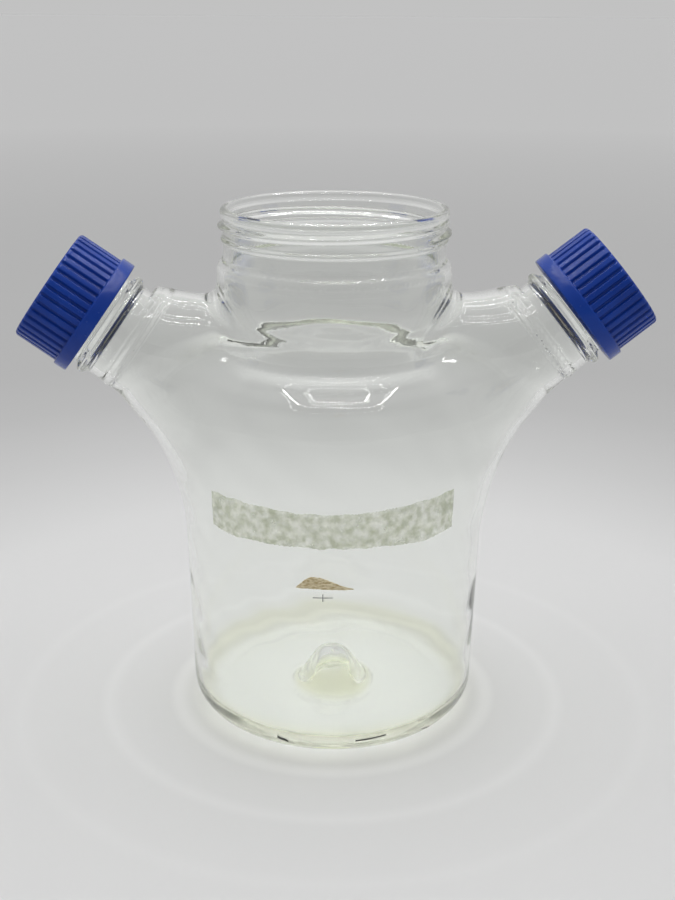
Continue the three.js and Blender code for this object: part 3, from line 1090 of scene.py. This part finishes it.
def floor():
    """A pale table top with painted shade, darker further from the flask, and faint painted rings
    of light where the glass would throw them.
    """
    size = TABLE_SIZE
    corners = [(-size, -size), (size, -size), (size, size), (-size, size)]
    mesh = bpy.data.meshes.new("table_top")
    mesh.from_pydata([(x, y, TABLE_LEVEL) for x, y in corners], [], [(0, 1, 2, 3)])
    obj = new_object("table_top", mesh)
    material, tree, shader = new_material("table_with_painted_light")
    where = add_node(tree, "ShaderNodeTexCoord")
    far = add_node(tree, "ShaderNodeVectorMath", operation="LENGTH")
    tree.links.new(where.outputs["Object"], far.inputs[0])
    # painted shade: the tone falls away from the flask and rises again far off, standing in for how
    # the light box lights the table
    shade = ramp(
        tree,
        stretched_to(tree, far.outputs["Value"], PAINTED_SHADE_REACH),
        [
            (0.0, grey(0.78)),
            (0.08, grey(0.78)),
            (0.12, grey(0.66)),
            (0.16, grey(0.575)),
            (0.20, grey(0.55)),
            (0.30, grey(0.60)),
            (0.6, grey(0.73)),
            (1.0, grey(0.86)),
        ],
    )
    # painted light: bright rings on the table where the glass would focus light onto it
    rings = ramp(
        tree,
        stretched_to(tree, far.outputs["Value"], PAINTED_CAUSTICS_REACH),
        [
            (0.0, grey(0.94)),
            (0.270, grey(0.89)),
            (0.288, grey(0.99)),
            (0.298, grey(0.99)),
            (0.312, grey(0.92)),
            (0.400, grey(0.94)),
            (0.424, grey(0.985)),
            (0.444, grey(0.94)),
            (0.560, grey(0.94)),
            (0.585, grey(0.96)),
            (0.610, grey(0.94)),
            (1.0, grey(0.94)),
        ],
    )
    both = multiplied(tree, shade.outputs["Color"], rings.outputs["Color"])
    tree.links.new(both, shader.inputs["Base Color"])
    shader.inputs["Roughness"].default_value = 0.55
    mesh.materials.append(material)


def lamp_ring(name, half_x, half_y, corner):
    """A rounded rectangle of small square lamps facing down, as in a light box's lid."""
    outline = []
    for cx, cy, start in (
        (half_x - corner, half_y - corner, 0),
        (corner - half_x, half_y - corner, 90),
        (corner - half_x, corner - half_y, 180),
        (half_x - corner, corner - half_y, 270),
    ):
        turn = np.radians(np.linspace(start, start + 90, 8))
        outline += [(cx + corner * math.cos(a), cy + corner * math.sin(a)) for a in turn]
    outline = np.array(outline + outline[:1])
    length = np.append(0, np.cumsum(np.linalg.norm(np.diff(outline, axis=0), axis=1)))
    stations = np.arange(0, length[-1], LAMP_SPACING)
    xs = np.interp(stations, length, outline[:, 0])
    ys = np.interp(stations, length, outline[:, 1])
    half = LAMP_SIZE / 2
    points, faces = [], []
    corners = ((-half, -half), (half, -half), (half, half), (-half, half))
    for x, y in zip(xs + LAMP_CENTRE_X, ys):
        k = len(points)
        points += [(x + a, y + b, LAMP_LEVEL) for a, b in corners]
        faces.append((k + 3, k + 2, k + 1, k))
    mesh = bpy.data.meshes.new(name)
    mesh.from_pydata(points, [], faces)
    obj = new_object(name, mesh)
    material = bpy.data.materials.new(name + "_glow")
    material.use_nodes = True
    tree = material.node_tree
    tree.nodes.remove(tree.nodes["Principled BSDF"])
    glow = add_node(tree, "ShaderNodeEmission", {"Color": (1, 1, 1, 1), "Strength": LAMP_STRENGTH})
    tree.links.new(glow.outputs["Emission"], tree.nodes["Material Output"].inputs["Surface"])
    mesh.materials.append(material)
    obj.visible_diffuse = False
    obj.visible_camera = False


def surroundings():
    """An even white light box: bright above and around, darker towards the front."""
    world = bpy.data.worlds.new("light_box")
    bpy.context.scene.world = world
    world.use_nodes = True
    tree = world.node_tree
    where = add_node(tree, "ShaderNodeTexCoord")
    parts = add_node(tree, "ShaderNodeSeparateXYZ")
    tree.links.new(where.outputs["Generated"], parts.inputs["Vector"])
    height = ramp(
        tree, parts.outputs["Z"], [(0.0, grey(0.64)), (0.5, grey(0.88)), (1.0, grey(1.0))]
    )
    front = add_node(
        tree, "ShaderNodeMapRange", {"From Min": -1.0, "From Max": 0.2, "To Min": 0.35}
    )
    tree.links.new(parts.outputs["Y"], front.inputs["Value"])
    both = multiplied(tree, height.outputs["Color"], front.outputs["Result"])
    background = tree.nodes["Background"]
    tree.links.new(both, background.inputs["Color"])
    background.inputs["Strength"].default_value = WORLD_STRENGTH


def camera():
    """In front, a little to the left, looking down 19 degrees."""
    data = bpy.data.cameras.new("camera")
    data.lens = LENS
    data.sensor_width = SENSOR
    data.clip_start, data.clip_end = 0.01, 50
    obj = new_object("camera", data)
    yaw, pitch, roll = math.radians(YAW), math.radians(PITCH), math.radians(ROLL)
    ahead = Vector(
        (math.sin(yaw) * math.cos(pitch), math.cos(yaw) * math.cos(pitch), -math.sin(pitch))
    )
    right = ahead.cross(Vector((0, 0, 1))).normalized()
    over = right.cross(ahead)
    tilted = right * math.cos(roll) + over * math.sin(roll)
    over = over * math.cos(roll) - right * math.sin(roll)
    turn = Matrix((tilted, over, -ahead)).transposed()
    obj.matrix_world = Matrix.Translation(EYE) @ turn.to_4x4()
    bpy.context.scene.camera = obj


# ------------------------------------------------------------------ build
def build():
    points, faces, normals = glass_mesh()
    glass = new_mesh("flask_glass", points, faces, glass_material())
    glass.data.normals_split_custom_set_from_vertices(normals.tolist())
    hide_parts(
        "vessel_floor",
        "vessel_wall",
        "vessel_shoulder",
        "centre_neck",
        "left_arm",
        "right_arm",
        "left_threaded_end",
        "right_threaded_end",
    )
    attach(glass, "flask")
    plastic, silicone = blue_plastic(), liner_material()
    for arm in ARMS:
        screw_cap(arm, plastic)
        sealing_disc(arm, silicone)
    label_residue(residue_material())
    paper_scrap(paper_material())
    pen_marks(ink_material("black_ink", 0.01, 0.06), ink_material("pencil_grey", 0.16, 0.38))


build()
floor()
lamp_ring("lamp_ring_outer", 0.165, 0.20, 0.09)
lamp_ring("lamp_ring_inner", 0.092, 0.094, 0.03)
surroundings()
top_light()
camera()

scene = bpy.context.scene
scene.view_settings.view_transform = "Standard"
scene.cycles.max_bounces = LIGHT_BOUNCES
scene.cycles.transmission_bounces = LIGHT_BOUNCES
scene.cycles.glossy_bounces = LIGHT_BOUNCES

bpy.context.view_layer.update()
